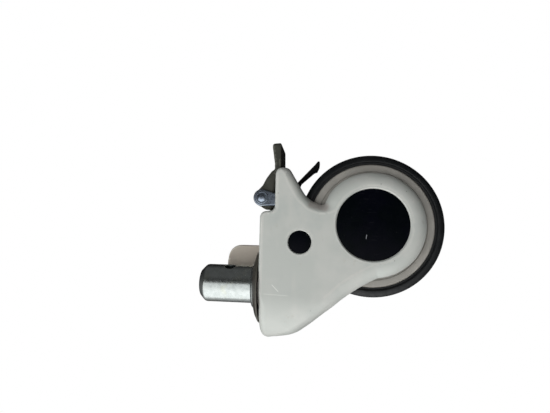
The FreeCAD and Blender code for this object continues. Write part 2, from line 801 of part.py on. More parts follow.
def pedal():
    """The foot pedal: two arms on the pivot, a web that drops to a wide blade with a straight end."""
    x, z = size("pedal_x"), size("pedal_z")
    top = size("housing_top")
    arms = plate("pedal_arms", [
        (x - 6.0, z + 1.0), (x - 3.9, z + 4.9, "arc"), (x + 0.8, z + 6.3),
        (68.0, top + 5.2, "arc"), (70.6, top + 2.8),
        (73.0, top + 0.5), (75.6, top - 0.9, "arc"), (78.6, top - 2.4),
        (83.6, top - 6.0), (86.0, top - 8.9),
        (88.0, top - 8.9), (88.0, top - 13.2), (84.0, top - 13.2), (77.0, top - 9.9), (64.0, top - 8.6),
        (57.8, top - 9.4), (55.4, top - 6.6),
    ], "15.7")
    blade_side = plate("pedal_blade", [
        (85.0, top - 9.4), (101.2, top - 7.0), (103.7, top - 7.4, "arc"), (104.7, top - 9.2),
        (105.2, top - 12.4), (104.3, top - 13.2), (85.0, top - 13.6),
    ], "17.5")
    doc.recompute()
    tip = doc.addObject("PartDesign::Body", "blade_plan_body")
    plan = new_sketch(tip, "blade_plan", "XY_Plane")
    draw_outline(plan, [(80, -17.5), (101.7, -17.5), (104.2, -16.5, "arc"), (105.2, -14.0),
                        (105.2, 14.0), (104.2, 16.5, "arc"), (101.7, 17.5), (80, 17.5)])
    pad = tip.newObject("PartDesign::Pad", "blade_plan_pad")
    pad.Profile = plan
    pad.Midplane = True
    pad.Length = 80
    tip.Tip = pad
    doc.recompute()
    blade = common("pedal_blade", blade_side, tip)
    solid = fuse("pedal", arms, blade)
    slot = box("pedal_slot", ("50", "-9.2", "-40"), ("79", "9.2", "10"))
    hole = cylinder("pedal_hole", "pivot_radius + 0.05", "60", "pedal_x", "-30", "pedal_z")
    node(cut("pedal", solid, slot, hole), "pedal")


def pedal_cam():
    """The hardened nose between the pedal's arms that pushes the brake lever down."""
    x, z = size("pedal_x"), size("pedal_z")
    top = size("housing_top")
    outline = [
        (x - 5.2, z), (x, z + 5.2, "arc"), (x + 5.2, z),
        (75.0, top - 7.0), (74.9, top - 11.3, "arc"), (71.6, top - 13.0), (68.4, top - 11.5, "arc"),
        (66.2, top - 5.9), (x - 3.0, z - 4.3),
    ]
    blank = plate("pedal_cam", outline, "4")
    bridge = plate("cam_bridge", [
        (73.2, top - 5.0), (79.4, top - 5.9), (79.4, top - 9.6), (74.6, top - 9.2),
    ], "9.2")
    bite = box("cam_bite", ("78.99", "-20", "-40"), ("90", "20", "10"))
    hole = cylinder("cam_hole", "pivot_radius + 0.05", "60", "pedal_x", "-30", "pedal_z")
    node(cut("pedal_cam", fuse("pedal_cam", blank, bridge), bite, hole), "pedal_cam")


def coil(radius, wire, pitch, turns, start_y):
    """A helical coil of round wire about the pedal pivot, along Y."""
    helix = Part.makeHelix(pitch, pitch * turns, radius)
    begin = helix.Edges[0].valueAt(helix.Edges[0].FirstParameter)
    section = Part.Wire(Part.makeCircle(wire, begin, ACROSS))
    solid = Part.Wire(helix.Edges).makePipeShell([section], True, True)
    solid.Placement = FreeCAD.Placement(FreeCAD.Vector(size("pedal_x"), start_y, size("pedal_z")), SIDEWAYS)
    return solid


def return_springs():
    """Two torsion coils round the rivet that lift the pedal back."""
    item = doc.addObject("Part::Feature", "return_springs_set")
    item.Shape = Part.makeCompound([coil(4.2, 0.5, 1.2, 2.6, start) for start in (5.0, -8.1)])
    node(item, "pedal_return_springs")


def brake_lever():
    """The rocking lever: its long arm takes the shoe, its short arm the swivel lock tooth."""
    top = size("housing_top")
    lever = plate("brake_lever", [
        (17.0, top - 27.4), (23.0, top - 27.4), (36.5, top - 19.0), (39.3, top - 15.6), (44.0, top - 13.5),
        (62.0, top - 13.6), (71.2, top - 13.6), (73.8, top - 20.5), (70.5, top - 25.0), (56.0, top - 23.4),
        (44.0, top - 24.4), (38.0, top - 25.2), (24.0, top - 30.6), (17.0, top - 30.6),
    ], "8")
    hole = cylinder("lever_hole", "lever_pin_radius + 0.05", "60", "lever_x", "-30", "lever_z")
    node(cut("brake_lever", lever, hole), "brake_lever")
    tooth = box("tooth", ("17.6", "-1.2", "housing_top - 27.4"), ("20.3", "1.2", "lock_bottom - 0.4"))
    node(tooth, "swivel_lock_tooth")
    shoe = plate("brake_shoe", [
        (73.8, top - 20.5), (77.3, top - 25.0), (84.1, top - 31.2), (90.9, top - 37.8),
        (93.4, top - 39.8), (93.9, top - 40.6, "arc"), (92.9, top - 41.2), (90.7, top - 41.2),
        (86.4, top - 39.4), (85.4, top - 37.2), (82.9, top - 34.4), (76.8, top - 27.4),
        (74.2, top - 25.6), (70.5, top - 25.0),
    ], "5")
    node(shoe, "brake_shoe")


def check_and_export():
    """Stop on any failed object or bad shape, then write each sub-part's file."""
    doc.recompute()
    failed = [item.Name for item in doc.Objects if "Invalid" in item.State or "Error" in item.State]
    if failed:
        raise RuntimeError("failed objects: " + ", ".join(failed))
    for item in NODES:
        if item.Shape.isNull() or not item.Shape.isValid():
            raise RuntimeError("bad shape: " + item.Label)
        item.Shape.exportStep("parts/" + item.Label + ".step")
        print(item.Label, "solids", len(item.Shape.Solids), "volume", round(item.Shape.Volume, 1))


stem_post()
locating_tab()
dust_cover()
swivel_bearings()
swivel_lock_ring()
swivel_nut()
housing()
caps()
bracket_screws()
wheel()
wheel_bearings()
axle()
pedal_bracket()
pivots()
pedal()
pedal_cam()
return_springs()
brake_lever()
check_and_export()
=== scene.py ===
import json
import math

import bmesh
import bpy
import numpy as np
from mathutils import Matrix, Vector


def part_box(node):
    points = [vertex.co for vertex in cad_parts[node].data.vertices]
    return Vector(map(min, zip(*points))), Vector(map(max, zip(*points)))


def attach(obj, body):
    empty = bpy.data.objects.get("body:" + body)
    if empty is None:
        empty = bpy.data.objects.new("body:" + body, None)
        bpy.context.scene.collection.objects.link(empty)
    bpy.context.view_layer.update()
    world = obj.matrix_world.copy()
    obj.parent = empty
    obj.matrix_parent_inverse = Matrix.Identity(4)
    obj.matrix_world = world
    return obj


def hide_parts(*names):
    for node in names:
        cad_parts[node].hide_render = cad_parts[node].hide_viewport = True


# A plain-stem total-lock caster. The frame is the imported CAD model, in metres: +Z up the stem,
# +X to the trailing side, the wheel turning about Y. Shapes are worked out in millimetres.

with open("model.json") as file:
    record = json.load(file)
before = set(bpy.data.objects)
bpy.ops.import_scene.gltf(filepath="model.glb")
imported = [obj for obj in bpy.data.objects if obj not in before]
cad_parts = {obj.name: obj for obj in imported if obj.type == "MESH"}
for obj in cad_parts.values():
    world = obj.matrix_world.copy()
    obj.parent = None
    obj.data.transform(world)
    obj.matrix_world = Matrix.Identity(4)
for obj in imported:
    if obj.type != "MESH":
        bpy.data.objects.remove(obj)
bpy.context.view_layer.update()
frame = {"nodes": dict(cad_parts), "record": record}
MM = 0.001
FINE = 1.0


def corner_mm(node, side):
    """A node's lowest (side 0) or highest (side 1) corner in millimetres."""
    return [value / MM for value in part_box(node)[side]]


def centre_mm(node):
    """The middle of a node's box in millimetres."""
    low, high = corner_mm(node, 0), corner_mm(node, 1)
    return [(a + b) / 2 for a, b in zip(low, high)]


HOUSING_LOW, HOUSING_HIGH = corner_mm("housing", 0), corner_mm("housing", 1)
TOP = HOUSING_HIGH[2]
HALF = HOUSING_HIGH[1]
NOSE_TIP = HOUSING_LOW[0]
AXLE_X, _, AXLE_Z = centre_mm("tyre")
TYRE_R = corner_mm("tyre", 1)[0] - AXLE_X
RIM_R = corner_mm("rim", 1)[0] - AXLE_X
TYRE_HALF = corner_mm("tyre", 1)[1]
BOSS_R = AXLE_Z - HOUSING_LOW[2]
CAP_R = corner_mm("axle_caps", 1)[0] - AXLE_X
SMALL_X, _, SMALL_Z = centre_mm("screw_caps")
SMALL_R = corner_mm("screw_caps", 1)[0] - SMALL_X
PIVOT_X, _, PIVOT_Z = centre_mm("pedal_rivet")
LEVER_X, _, LEVER_Z = centre_mm("lever_pin")
STEM_LOW, STEM_HIGH = corner_mm("stem_post", 0), corner_mm("stem_post", 1)
COVER_R = corner_mm("dust_cover", 1)[0]
BRACKET_OUT = corner_mm("pedal_bracket", 1)[1]
STEM_TURN = math.radians(-17)

# What the node boxes don't give, in millimetres.
WALL = 3.5
CHEEK_IN = 18.5
NOSE_START = -5.0
TYRE_GAP = 2.6
SWIVEL_BOSS_R, SWIVEL_BOSS_DEPTH = 21.0, 19.0
AXLE_BOSS_R, AXLE_BOSS_IN = 22.0, 13.4
HUB_TUBE_R, HUB_TUBE_MIDDLE, HUB_TUBE_REACH = 8.5, 16.0, 3.0
AXLE_HOLE_R, SCREW_HOLE_R = 6.0, 2.5
PIVOT_HOLE_R = 3.0
POCKET_R, POCKET_FLOOR = 20.0, 17.2
SCREW_POCKET_R, SCREW_POCKET_DEPTH = 6.0, 5.5
CAP_DEPTH, SMALL_CAP_DEPTH = 2.0, 1.6
CAP_BELOW = 0.5
BOSS_ROLL = 11.5
BOSS_CREASE = 2.0
BEZEL = 1.0


# ------------------------------------------------------------------ solids as distance fields

def both(a, b, r):
    """Where two fields overlap, with the meeting edge rounded to radius r."""
    return np.minimum(-r, np.maximum(a, b)) + np.hypot(np.maximum(a + r, 0), np.maximum(b + r, 0))


def either(a, b, r):
    """Two fields joined, with a fillet of radius r where they meet."""
    return np.maximum(r, np.minimum(a, b)) - np.hypot(np.maximum(r - a, 0), np.maximum(r - b, 0))


def minus(a, b, r):
    """Field a less field b, with the edge rounded."""
    return both(a, -b, r)


def blend_between(value, low, high):
    """0 below low, 1 above high, smooth between."""
    part = np.clip((value - low) / (high - low), 0, 1)
    return part * part * (3 - 2 * part)


def arc(centre, radius, start, end, count):
    """Points along an arc, by angles in degrees."""
    return [(centre[0] + radius * math.cos(angle), centre[1] + radius * math.sin(angle))
            for angle in np.radians(np.linspace(start, end, count))]


def bow(first, middle, last, count=9):
    """Points along the arc through three points, without its ends."""
    (ax, ay), (bx, by), (cx, cy) = first, middle, last
    d = 2 * (ax * (by - cy) + bx * (cy - ay) + cx * (ay - by))
    ux = ((ax**2 + ay**2) * (by - cy) + (bx**2 + by**2) * (cy - ay) + (cx**2 + cy**2) * (ay - by)) / d
    uy = ((ax**2 + ay**2) * (cx - bx) + (bx**2 + by**2) * (ax - cx) + (cx**2 + cy**2) * (bx - ax)) / d
    radius = math.hypot(ax - ux, ay - uy)
    begin = math.atan2(ay - uy, ax - ux)
    turn = (math.atan2(cy - uy, cx - ux) - begin) % (2 * math.pi)
    half = (math.atan2(by - uy, bx - ux) - begin) % (2 * math.pi)
    if half > turn:
        turn -= 2 * math.pi
    angles = [begin + turn * k / count for k in range(1, count)]
    return [(ux + radius * math.cos(angle), uy + radius * math.sin(angle)) for angle in angles]


def rounded(*corners):
    """A closed outline from (u, v, radius) corners, each radius an arc tangent to both its sides."""
    points = []
    for k, (u, v, radius) in enumerate(corners):
        if radius == 0:
            points.append((u, v))
            continue
        corner = Vector((u, v))
        back = (Vector(corners[k - 1][:2]) - corner).normalized()
        ahead = (Vector(corners[(k + 1) % len(corners)][:2]) - corner).normalized()
        half = back.angle(ahead) / 2
        centre = corner + (back + ahead).normalized() * (radius / math.sin(half))
        start = corner + back * (radius / math.tan(half)) - centre
        turn = -math.copysign(math.pi - 2 * half, back.x * ahead.y - back.y * ahead.x)
        steps = max(2, math.ceil(abs(turn) / 0.2))
        begin = math.atan2(start.y, start.x)
        angles = [begin + turn * n / steps for n in range(steps + 1)]
        points += [(centre.x + radius * math.cos(angle), centre.y + radius * math.sin(angle))
                   for angle in angles]
    return points


def outline_distance(points, u, v):
    """Signed distance to a closed outline in the plane, negative inside."""
    nearest = np.full(np.broadcast(u, v).shape, 1e9)
    inside = np.zeros(nearest.shape, bool)
    for (ax, ay), (bx, by) in zip(points, points[1:] + points[:1]):
        ex, ey = bx - ax, by - ay
        length2 = ex * ex + ey * ey
        if length2 < 1e-12:
            continue
        along = np.clip(((u - ax) * ex + (v - ay) * ey) / length2, 0, 1)
        nearest = np.minimum(nearest, (u - ax - along * ex) ** 2 + (v - ay - along * ey) ** 2)
        if ay != by:
            crosses = ((ay > v) != (by > v)) & (u < ex * (v - ay) / ey + ax)
            inside ^= crosses
    return np.where(inside, -1, 1) * np.sqrt(nearest)


def nets(field, low, high, step):
    """Surface nets: the zero surface of a field as vertices (moved onto the surface) and quads."""
    axes = [np.arange(low[k] - 2 * step, high[k] + 2.5 * step, step) for k in range(3)]
    values = field(axes[0][:, None, None], axes[1][None, :, None], axes[2][None, None, :])
    solid = np.broadcast_to(values, tuple(len(a) for a in axes)) < 0
    count = sum(solid[i:i - 1 or None, j:j - 1 or None, k:k - 1 or None].astype(np.int8)
                for i in (0, 1) for j in (0, 1) for k in (0, 1))
    live = (count > 0) & (count < 8)
    index = np.full(live.shape, -1, np.int64)
    index[live] = np.arange(live.sum())
    cells = np.argwhere(live)
    points = np.stack([axes[k][cells[:, k]] + step / 2 for k in range(3)], 1)
    quads = []
    for axis in range(3):
        other = [k for k in range(3) if k != axis]
        first = np.take(solid, range(solid.shape[axis] - 1), axis)
        last = np.take(solid, range(1, solid.shape[axis]), axis)
        where = np.argwhere(first != last)
        for k in other:
            where = where[(where[:, k] > 0) & (where[:, k] < solid.shape[k] - 1)]
        enters = first[tuple(where.T)]
        ring = []
        for back_a, back_b in ((1, 1), (0, 1), (0, 0), (1, 0)):
            cell = where.copy()
            cell[:, other[0]] -= back_a
            cell[:, other[1]] -= back_b
            ring.append(index[tuple(cell.T)])
        quad = np.stack(ring, 1)
        flip = enters if axis == 1 else ~enters
        quad[flip] = quad[flip][:, ::-1]
        quads.append(quad)
    quads = np.concatenate(quads)
    for _ in range(5):
        points = towards_surface(field, points, 0.6 * step)
    return points, quads


def slope(field, points, reach=0.04):
    """The field's gradient at points."""
    out = np.empty_like(points)
    for k in range(3):
        shift = np.zeros(3)
        shift[k] = reach
        ahead, behind = points + shift, points - shift
        out[:, k] = (field(*ahead.T) - field(*behind.T)) / (2 * reach)
    return out


def towards_surface(field, points, limit):
    """One Newton step of each point towards the zero surface, no longer than limit."""
    gradient = slope(field, points)
    size2 = np.maximum((gradient**2).sum(1), 1e-3)
    move = -np.clip(field(*points.T), -limit, limit)[:, None] * gradient / size2[:, None]
    return points + np.clip(move, -limit, limit)


def field_piece(name, field, low, high, step):
    """A mesh piece from a distance field given in millimetres."""
    points, quads = nets(field, low, high, step / FINE)
    normals = slope(field, points)
    normals /= np.maximum(np.linalg.norm(normals, axis=1), 1e-9)[:, None]
    return mesh_piece(name, points * MM, quads, normals)


def mesh_piece(name, points, faces, normals):
    """A smooth-shaded object from arrays of points, quads and the points' normals."""
    mesh = bpy.data.meshes.new(name)
    mesh.vertices.add(len(points))
    mesh.vertices.foreach_set("co", np.asarray(points, np.float32).ravel())
    mesh.loops.add(4 * len(faces))
    mesh.loops.foreach_set("vertex_index", np.asarray(faces, np.int32).ravel())
    mesh.polygons.add(len(faces))
    mesh.polygons.foreach_set("loop_start", np.arange(0, 4 * len(faces), 4, dtype=np.int32))
    mesh.update(calc_edges=True)
    mesh.validate()
    mesh.polygons.foreach_set("use_smooth", np.ones(len(mesh.polygons), bool))
    mesh.normals_split_custom_set_from_vertices(normals.astype(np.float32))
    piece = bpy.data.objects.new(name, mesh)
    bpy.context.scene.collection.objects.link(piece)
    return piece


# ------------------------------------------------------------------ the moulded fork

def on_wheel(angle, radius):
    """A point on a circle about the axle, by its angle from +X towards +Z."""
    angle = math.radians(angle)
    return (AXLE_X + radius * math.cos(angle), AXLE_Z + radius * math.sin(angle))


def fork_outline():
    """The fork's side silhouette, from the roof round the step, horn, notch, boss, flank and front."""
    z = TOP
    points = rounded((-48.0, z, 0), (53.4, z, 4.6), (54.4, z - 10.4, 3.6), (85.3, z - 10.4, 5.6),
                     (85.4, z - 19.7, 4.5), (64.0, z - 32.4, 14.0), (58.9, z - 44.6, 2.4),
                     on_wheel(60, BOSS_R) + (0,))
    points += arc((AXLE_X, AXLE_Z), BOSS_R, 60, -174, 80)[1:]
    boss_end, flank_end = on_wheel(-174, BOSS_R), (-6.8, z - 56.8)
    cheek_end, nose_end = (-29.4, z - 31.3), (-39.5, z - 10.5)
    points += bow(boss_end, (2.9, z - 70.4), flank_end)
    points += [flank_end, (-18.7, z - 43.2), cheek_end]
    points += bow(cheek_end, (-36.6, z - 21.4), nose_end)
    return points + [nose_end, (-48.0, z - 6.0)]


def plan_distance(x, y, half, nose):
    """The fork's plan: straight sides behind the swivel, half an ellipse in front."""
    ahead = np.minimum(x - NOSE_START, 0)
    scaled = np.hypot(ahead / nose, y / half)
    slant = np.maximum(np.hypot(ahead / nose**2, y / half**2), 1e-9)
    return scaled * (scaled - 1) / slant


FORK = fork_outline()
NOSE = NOSE_START - NOSE_TIP
ROOM = [(-33.6, TOP - WALL), (51.5, TOP - WALL), (51.5, TOP + 12), (120, TOP + 12), (120, -150), (-4, -150),
        (-4, TOP - 54), (-27.5, TOP - 28), (-33.6, TOP - 15)]


def roll(x, z):
    """How far the cheek's edge is rolled over, and how much of the roll's steep end the wall cuts off.

    The roll is broad on the flank and boss and tight along the roof and horn; only the boss has a crease.
    """
    depth = TOP - z
    radius = 7.0 + 1.5 * blend_between(depth, 20, 34) * blend_between(-x, -8, 4)
    top_edge = 1.8 + 3.7 * blend_between(-x, 2, 14)
    radius = radius + (top_edge - radius) * blend_between(-depth, -17, -9)
    horn = 1.8 + 4.4 * blend_between(depth, 12, 20)
    horn_weight = blend_between(x, 50, 57) * blend_between(-depth, -46, -34)
    radius = radius + (horn - radius) * horn_weight
    notch = 9.5
    notch_weight = blend_between(x, 52, 58) * blend_between(depth, 30, 38) * blend_between(-depth, -58, -46)
    radius = radius + (notch - radius) * notch_weight
    boss = blend_between(depth, 45, 56)
    return radius + (BOSS_ROLL - radius) * boss, BOSS_CREASE * boss


def outer_form(x, y, z):
    """The fork as a solid lump: its silhouette and plan, with rolled cheek edges and a flat top."""
    outline = outline_distance(FORK, x, z)
    radius, crease = roll(x, z)
    form = np.maximum(outline, both(outline - crease, plan_distance(x, y, HALF, NOSE), radius))
    return np.maximum(form, z - TOP)


def inner_room(x, across, z, from_stem, from_axle):
    """The hollow between the cheeks, less the boss round the swivel, with a well for the tyre."""
    plan = np.maximum(plan_distance(x, across, HALF - WALL, NOSE - WALL), across - CHEEK_IN)
    room = both(outline_distance(ROOM, x, z), plan, 2.0)
    room = minus(room, np.maximum(from_stem - SWIVEL_BOSS_R, TOP - SWIVEL_BOSS_DEPTH - z), 1.5)
    well = both(from_axle - TYRE_R - TYRE_GAP, across - CHEEK_IN, 2.0)
    return np.minimum(room, well)


def swivel_seat(z, from_stem):
    """The stepped seat of the swivel bearings, and room for the lock ring under it."""
    upper = np.maximum(from_stem - 16, TOP - 17 - z)
    lower = np.maximum(from_stem - 14.5, TOP - 20 - z)
    lock_room = np.maximum(from_stem - 21.8, np.abs(z - TOP + 22) - 3)
    return np.minimum(np.minimum(upper, lower), lock_room)


def fork_field(x, y, z):
    """The whole fork: rolled outer form less the room inside, with its bosses, seats and recesses."""
    across = np.abs(y)
    from_stem = np.hypot(x, y)
    from_axle = np.hypot(x - AXLE_X, z - AXLE_Z)
    from_screw = np.hypot(x - SMALL_X, z - SMALL_Z)
    form = minus(outer_form(x, y, z), inner_room(x, across, z, from_stem, from_axle), 1.1)
    boss = both(from_axle - AXLE_BOSS_R, AXLE_BOSS_IN - across, 1.0)
    form = either(form, np.maximum(boss, across - CHEEK_IN - 0.5), 0.8)
    hub_tube = np.maximum(from_axle - HUB_TUBE_R, np.abs(across - HUB_TUBE_MIDDLE) - HUB_TUBE_REACH)
    form = np.minimum(form, hub_tube)
    form = minus(form, swivel_seat(z, from_stem), 0.5)
    pocket = np.maximum(from_axle - POCKET_R, POCKET_FLOOR - across)
    shelf = np.maximum(from_axle - CAP_R - BEZEL, HALF - CAP_DEPTH - across)
    form = minus(form, np.minimum(pocket, shelf), 0.2)
    small_shelf = np.maximum(from_screw - SMALL_R - BEZEL, HALF - SMALL_CAP_DEPTH - across)
    small_pocket = np.maximum(from_screw - SCREW_POCKET_R, HALF - SCREW_POCKET_DEPTH - across)
    form = minus(form, np.minimum(small_shelf, small_pocket), 0.2)
    return np.maximum(form, -np.minimum(from_axle - AXLE_HOLE_R, from_screw - SCREW_HOLE_R))


def build_fork():
    """The fork mesh that stands for the CAD housing."""
    fork = field_piece("fork_shell", fork_field, HOUSING_LOW, HOUSING_HIGH, 0.6)
    install(fork, "housing", "housing_plastic", "housing")


# ------------------------------------------------------------------ turned and moulded pieces

def lathe(name, profile, place, count=192):
    """A closed turned mesh; place turns (radius, angle, height) into millimetres."""
    count = int(count * FINE)
    points, rings, faces = [], [], []
    for radius, height in profile:
        around = count if radius > 0 else 1
        rings.append(range(len(points), len(points) + around))
        points += [place(radius, 2 * math.pi * k / count, height) for k in range(around)]
    for first, second in zip(rings, rings[1:] + rings[:1]):
        for k in range(count):
            after = (k + 1) % count
            face = [first[k % len(first)], first[after % len(first)], second[after % len(second)],
                    second[k % len(second)]]
            face = list(dict.fromkeys(face))
            if len(face) > 2:
                faces.append(face)
    mesh = bpy.data.meshes.new(name)
    mesh.from_pydata([Vector(point) * MM for point in points], [], faces)
    work = bmesh.new()
    work.from_mesh(mesh)
    bmesh.ops.recalc_face_normals(work, faces=work.faces)
    work.to_mesh(mesh)
    work.free()
    mesh.polygons.foreach_set("use_smooth", np.ones(len(mesh.polygons), bool))
    mesh.set_sharp_from_angle(angle=math.radians(40))
    piece = bpy.data.objects.new(name, mesh)
    bpy.context.scene.collection.objects.link(piece)
    return piece


def sideways(x, z, side=1):
    """A place for lathe: turned about an axis along Y through (x, z); side -1 puts it on the near cheek."""
    def place(radius, angle, height):
        return (x + radius * math.cos(angle), side * height, z + radius * math.sin(angle))

    return place


def upright(radius, angle, height):
    """A place for lathe: turned about the stem's axis."""
    return (radius * math.cos(angle), radius * math.sin(angle), height)


def mirrored(half):
    """The other half of a profile that is the same on both sides of the middle plane."""
    return [(radius, -height, bend) for radius, height, bend in reversed(half)]


def install(piece, body, slot, *nodes):
    """Ride on a body, stand for the CAD nodes and take a finish."""
    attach(piece, body)
    if nodes:
        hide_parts(*nodes)
    dress(piece, materials[slot])


def on_both_cheeks(name, profile, x, z, slot, *nodes):
    """The same turned piece on the near and the far cheek."""
    for side, where in ((-1, "near"), (1, "far")):
        install(lathe(name + "_" + where, profile, sideways(x, z, side)), "housing", slot, *nodes)


def build_bezels():
    """The crisp bevelled edges of the four cap recesses, flush with the cheeks."""
    floor = HALF - 2.2
    for label, x, z, cap, bevel in (("axle_bezel", AXLE_X, AXLE_Z, CAP_R, 0.8),
                                    ("screw_bezel", SMALL_X, SMALL_Z, SMALL_R, 0.6)):
        inner, outer = cap + 0.05, cap + BEZEL + 1.3
        profile = rounded((inner, floor, 0), (inner, HALF - bevel, 0.15), (inner + bevel, HALF + 0.03, 0.3),
                          (outer, HALF - 0.02, 0), (outer, floor, 0))
        on_both_cheeks(label, profile, x, z, "housing_plastic")


def build_tyre():
    """The tyre: dished joint at the rim, round shoulders, a low crown and a fine mould seam."""
    half, outer, inner = TYRE_HALF, TYRE_R, RIM_R
    side = [(inner - 3, -5, 0), (inner, -6.5, 0), (inner, -half + 1.3, 0), (inner + 1.1, -half + 1.3, 0.4),
            (inner + 1.9, -half, 0.6), (outer, -half, 4.4), (outer + 0.15, -0.3, 0),
            (outer + 0.35, -0.12, 0)]
    profile = rounded(*side, *mirrored(side))
    tyre = lathe("tyre_tread", profile, sideways(AXLE_X, AXLE_Z), 256)
    install(tyre, "wheel", "tyre_rubber", "tyre")


def build_rim():
    """The rim: rounded lip, flat face with a shallow step, dished web and bearing seat."""
    half = corner_mm("rim", 1)[1]
    side = [(14, -12.8, 0), (19, -12.8, 0.8), (19.5, -4, 2.0), (34, -3, 2.5), (35.2, -half + 0.7, 0.8),
            (38.2, -half + 0.5, 0.3), (38.6, -half, 0.3), (RIM_R, -half, 1.6), (RIM_R, -6.5, 0)]
    half_profile = [(12, -5, 0), (14, -5, 0), *side, (RIM_R - 3, -5, 0)]
    profile = rounded(*half_profile, *mirrored(half_profile))
    install(lathe("rim_moulding", profile, sideways(AXLE_X, AXLE_Z), 256), "wheel", "rim_plastic", "rim")


def build_caps():
    """The flat covers over the axle and the bracket screws, a little below each cheek's face."""
    face = HALF - CAP_BELOW
    back, rib_end = HALF - CAP_DEPTH, 19.5
    axle_cap = rounded((0, back, 0), (17.6, back, 0), (17.6, rib_end, 0.4), (20, rib_end, 0.4),
                       (20, back, 0), (CAP_R, back, 0.2), (CAP_R, face, 0.55), (0, face, 0))
    back, rib_end = HALF - SMALL_CAP_DEPTH, HALF - 2.6
    screw_cap = rounded((0, back, 0), (5, back, 0), (5, rib_end, 0.2), (6, rib_end, 0.2), (6, back, 0),
                        (SMALL_R, back, 0.2), (SMALL_R, face, 0.45), (0, face, 0))
    on_both_cheeks("axle_cap", axle_cap, AXLE_X, AXLE_Z, "cap_plastic", "axle_caps")
    on_both_cheeks("screw_cap", screw_cap, SMALL_X, SMALL_Z, "cap_plastic", "screw_caps")


def stem_place(x, y):
    """Coordinates along and across the stem's own tab and cross hole, which are turned about Z."""
    along = x * math.cos(STEM_TURN) + y * math.sin(STEM_TURN)
    return along, y * math.cos(STEM_TURN) - x * math.sin(STEM_TURN)


def build_stem():
    """The stem in three meshes: cross-drilled post, flange with hub and journal, and threaded end."""
    end, foot, hub, flange = STEM_HIGH[2], STEM_LOW[2], 13.0, STEM_HIGH[0]
    neck = hub - 0.6
    shoulder = TOP - 24
    hole_radius, hole_height = 4.1, 17.7
    thread_radius, pitch, thread_depth = 8.0, 2.0, 0.45
    outline = rounded((0, -1, 0), (14, -1, 0), (14, end - 4.2, 3.0), (9.8, end, 2.0), (0, end, 0))

    def post(x, y, z):
        """A round-ended bar with an eased cross hole."""
        over = stem_place(x, y)[1]
        form = outline_distance(outline, np.hypot(x, y), z)
        return minus(form, np.hypot(over, z - hole_height) - hole_radius, 0.5)

    def thread(x, y, z):
        """A bar whose radius rises and falls once a turn."""
        turns = z / pitch - np.arctan2(y, x) / (2 * math.pi)
        wave = np.abs(2 * (turns - np.floor(turns)) - 1)
        bar = np.hypot(x, y) - thread_radius + thread_depth * wave
        return both(bar, np.maximum(foot - z, z - shoulder - 1), 0.6)

    profile = rounded((0, shoulder, 0), (10, shoulder, 0.3), (10, TOP - 2, 0), (neck, TOP - 2, 0),
                      (neck, TOP, 0), (hub, TOP, 0), (hub, -1.8, 0), (flange, -1.8, 0.3),
                      (flange - 1.7, -0.4, 0.5), (flange - 2.0, 0, 0.2), (0, 0, 0))
    thread_low = (-thread_radius, -thread_radius, foot)
    thread_high = (thread_radius, thread_radius, shoulder + 1)
    for piece in (field_piece("stem", post, STEM_LOW, STEM_HIGH, 0.5),
                  field_piece("stem_thread", thread, thread_low, thread_high, 0.4),
                  lathe("stem_flange", profile, upright)):
        install(piece, "stem", "stem_steel", "stem_post")


def build_tab():
    """The locating tab: crowned upright, soft edges, bent to a tongue and ring on the hub."""
    low, high = corner_mm("locating_tab", 0), corner_mm("locating_tab", 1)
    foot, top, half, sheet = low[2], high[2], 23.4, 1.2
    outline = rounded((-half, foot, 0), (-half, top - 3.6, 11.0), (-10.0, top - 0.6, 20.0),
                      (0, top + 0.1, 40.0), (10.0, top - 0.6, 20.0), (half, top - 3.6, 11.0),
                      (half, foot, 0))

    def tab(x, y, z):
        """The upright plate filleted to its flat foot."""
        along, over = stem_place(x, y)
        from_stem = np.hypot(x, y)
        plate = both(outline_distance(outline, along, z), np.abs(over - 22.5) - 1.5, 0.9)
        layer = np.abs(z - foot - sheet / 2) - sheet / 2
        tongue = np.maximum(np.maximum(np.abs(along) - 8, np.abs(over - 12) - 11.9), layer)
        ring = np.maximum(np.minimum(tongue, np.maximum(from_stem - 17, layer)), 13 - from_stem)
        return either(plate, ring, 0.8)

    install(field_piece("tab_plate", tab, low, high, 0.5), "stem", "tab_plastic", "locating_tab")


def build_cover():
    """The dust cover: a thin conical skirt with a rolled rim, cut flat for the tab."""
    rim, roof = COVER_R, TOP
    profile = rounded((13, -1.8, 0), (13, -3.3, 0), (18.2, -3.3, 0.5), (rim - 4.5, roof + 2.3, 2.0),
                      (rim - 1.5, roof + 1.1, 0.4), (rim - 1.5, roof + 0.6, 0.2), (rim, roof + 0.6, 0.3),
                      (rim, roof + 1.6, 0.8), (rim - 3.9, roof + 3.8, 2.0), (19.4, -1.8, 0.4))

    def cover(x, y, z):
        """The skirt less the part on the tab's side of a plane."""
        over = stem_place(x, y)[1]
        skirt = outline_distance(profile, np.hypot(x, y), z)
        return minus(skirt, 20.7 - over, 0.2)

    low, high = corner_mm("dust_cover", 0), corner_mm("dust_cover", 1)
    install(field_piece("cover_skirt", cover, low, high, 0.4), "stem", "cover_plastic", "dust_cover")


